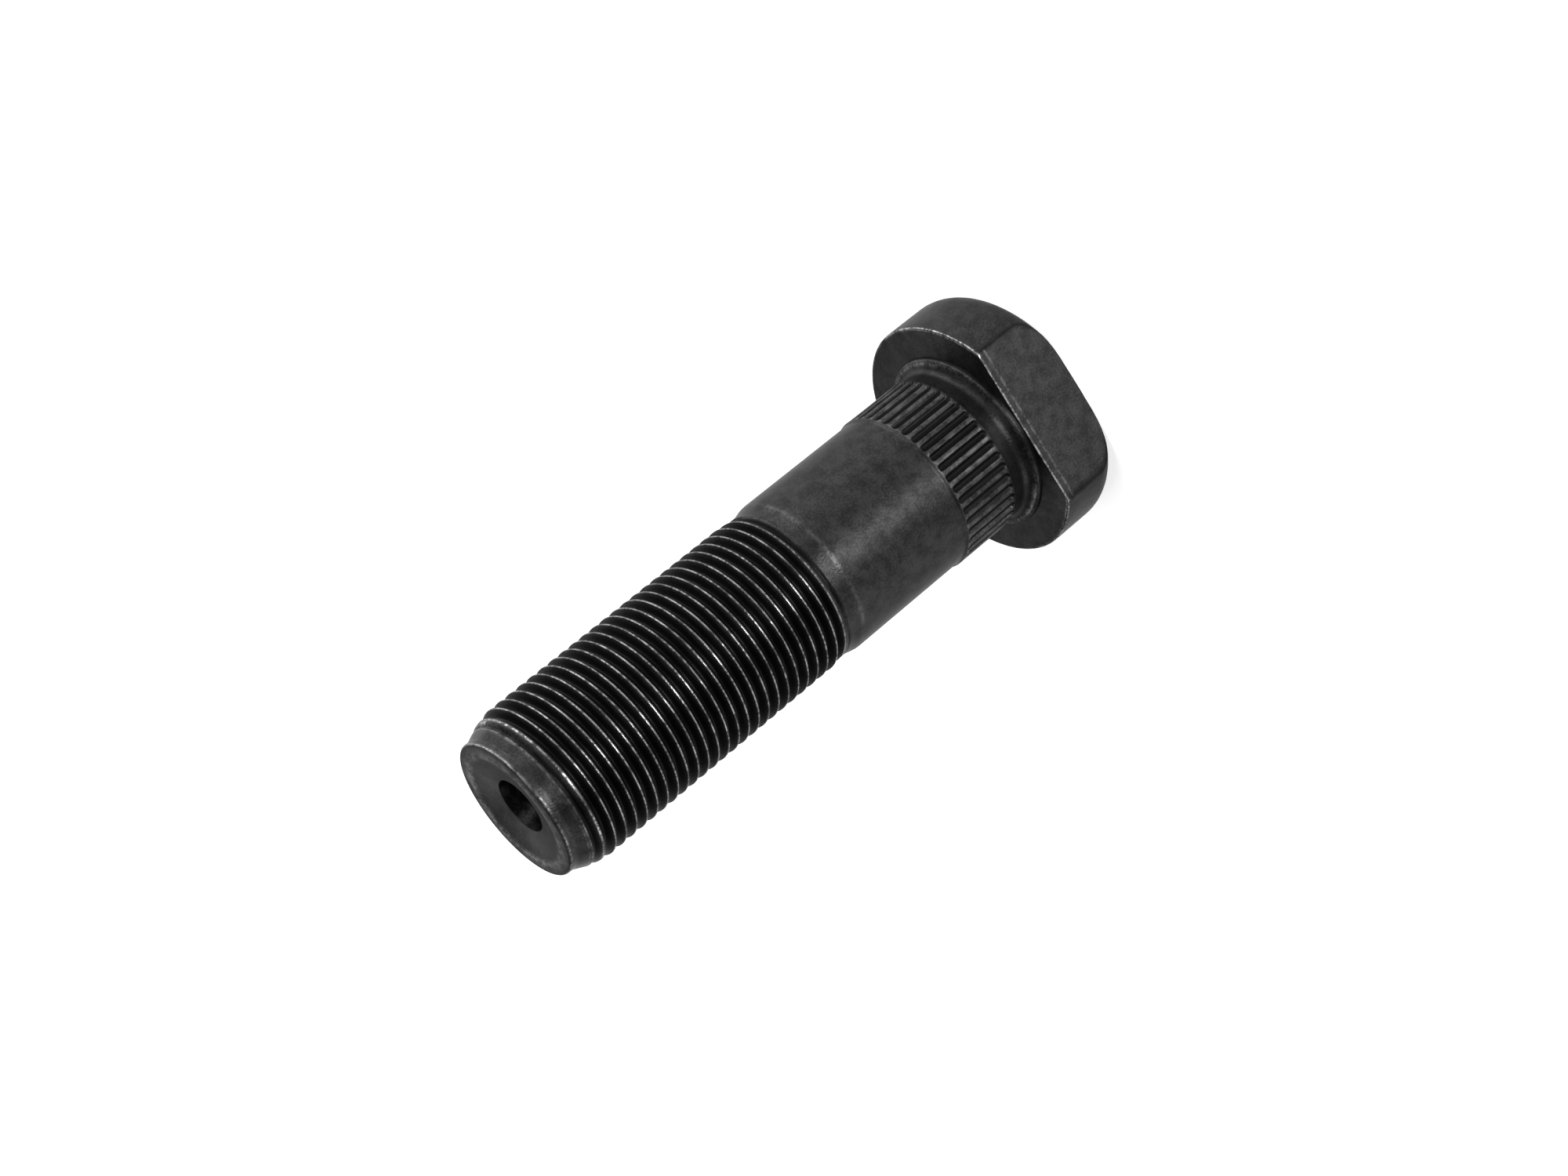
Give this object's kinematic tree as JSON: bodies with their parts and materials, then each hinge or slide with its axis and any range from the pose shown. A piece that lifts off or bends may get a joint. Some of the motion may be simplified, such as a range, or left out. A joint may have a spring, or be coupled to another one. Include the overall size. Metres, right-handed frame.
{
  "type": "wheel bolt",
  "caption": "Press-in wheel bolt with a round head clipped flat on one side, a knurled neck, a plain shank and a long fine thread.",
  "frame": {"origin": "centre of the head's outer end face, the face that the bolt stands on", "axes": "+Z along the bolt's axis from the head to the tip of the thread, -Y out of the clipped flat on the head's side"},
  "size_m": [0.0304, 0.0268, 0.0791],
  "materials": {
    "phosphated_steel": "matte"
  },
  "bodies": {
    "root": {"wheel_bolt": "phosphated_steel"}
  },
  "joints": []
}
